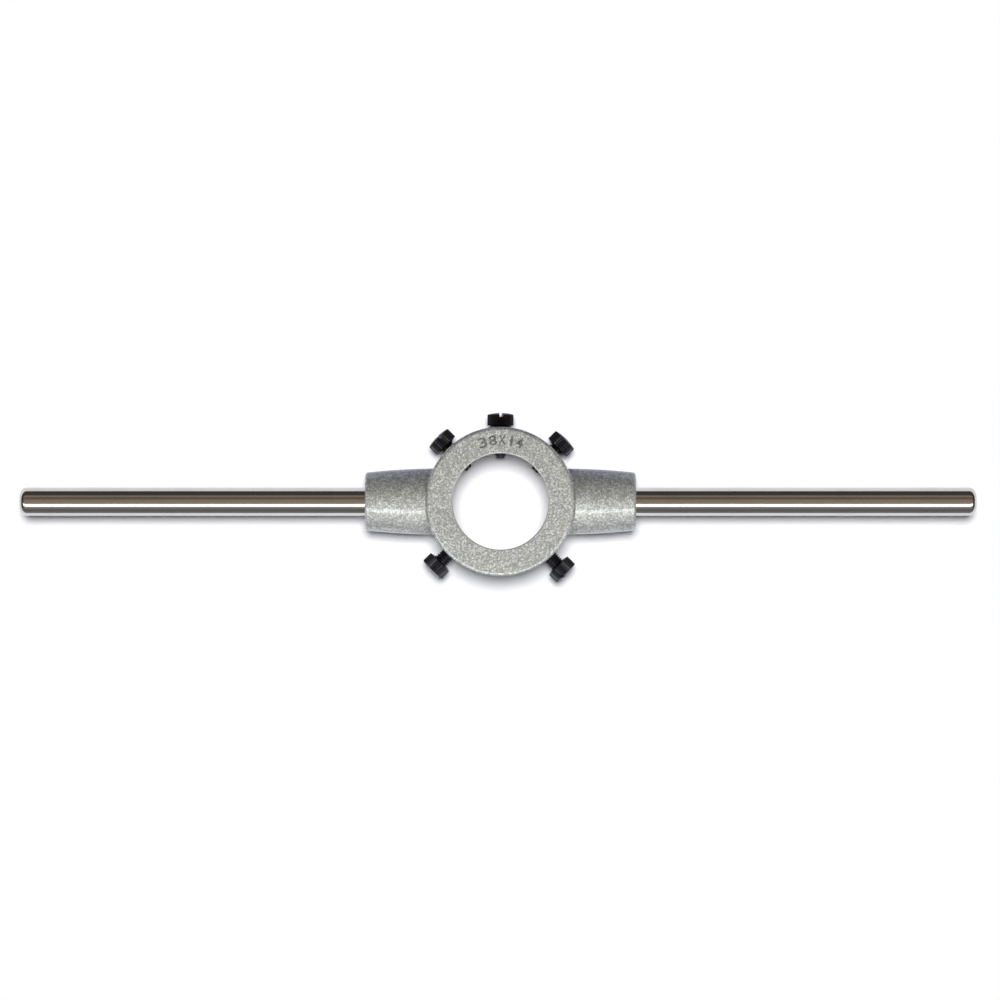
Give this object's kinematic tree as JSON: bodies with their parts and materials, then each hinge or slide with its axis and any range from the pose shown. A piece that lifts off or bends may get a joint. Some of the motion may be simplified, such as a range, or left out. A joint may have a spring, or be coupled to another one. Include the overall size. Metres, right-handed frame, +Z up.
{
  "type": "die stock handle",
  "caption": "Hand die stock for round dies: a cast ring with an arm and a steel handle rod on each side, and knurled, slotted clamp screws set round the ring.",
  "frame": {"origin": "on the die's axis at the mouth of the die seat, which is the ring's lower face", "axes": "+X along the right handle rod, +Y towards the spreading screw, +Z up through the lip's eye"},
  "size_m": [0.315, 0.0559, 0.019],
  "materials": {
    "hammer_paint": "hammertone",
    "bright_rod": "polished",
    "blackened_screw": "black oxide"
  },
  "bodies": {
    "stock": {"stock_body": "hammer_paint", "handle_rod_left": "bright_rod", "handle_rod_right": "bright_rod"},
    "spreading_screw": {"spreading_screw": "blackened_screw"},
    "closing_screw_left": {"closing_screw_left": "blackened_screw"},
    "closing_screw_right": {"closing_screw_right": "blackened_screw"},
    "holding_screw_left": {"holding_screw_left": "blackened_screw"},
    "holding_screw_right": {"holding_screw_right": "blackened_screw"}
  },
  "joints": [
    {"name": "spreading_screw_travel", "type": "slide", "parent": "stock", "child": "spreading_screw", "axis": [0, 1, 0], "range_m": [-0.00015, 0.00685]},
    {"name": "closing_screw_travel_left", "type": "slide", "parent": "stock", "child": "closing_screw_left", "axis": [-0.7071, 0.7071, 0], "range_m": [-0.00085, 0.00615]},
    {"name": "closing_screw_travel_right", "type": "slide", "parent": "stock", "child": "closing_screw_right", "axis": [0.7071, 0.7071, 0], "range_m": [-0.0009, 0.0061]},
    {"name": "holding_screw_travel_left", "type": "slide", "parent": "stock", "child": "holding_screw_left", "axis": [-0.7071, -0.7071, 0], "range_m": [-0.0033, 0.0037]},
    {"name": "holding_screw_travel_right", "type": "slide", "parent": "stock", "child": "holding_screw_right", "axis": [0.7071, -0.7071, 0], "range_m": [-0.00345, 0.00355]}
  ]
}
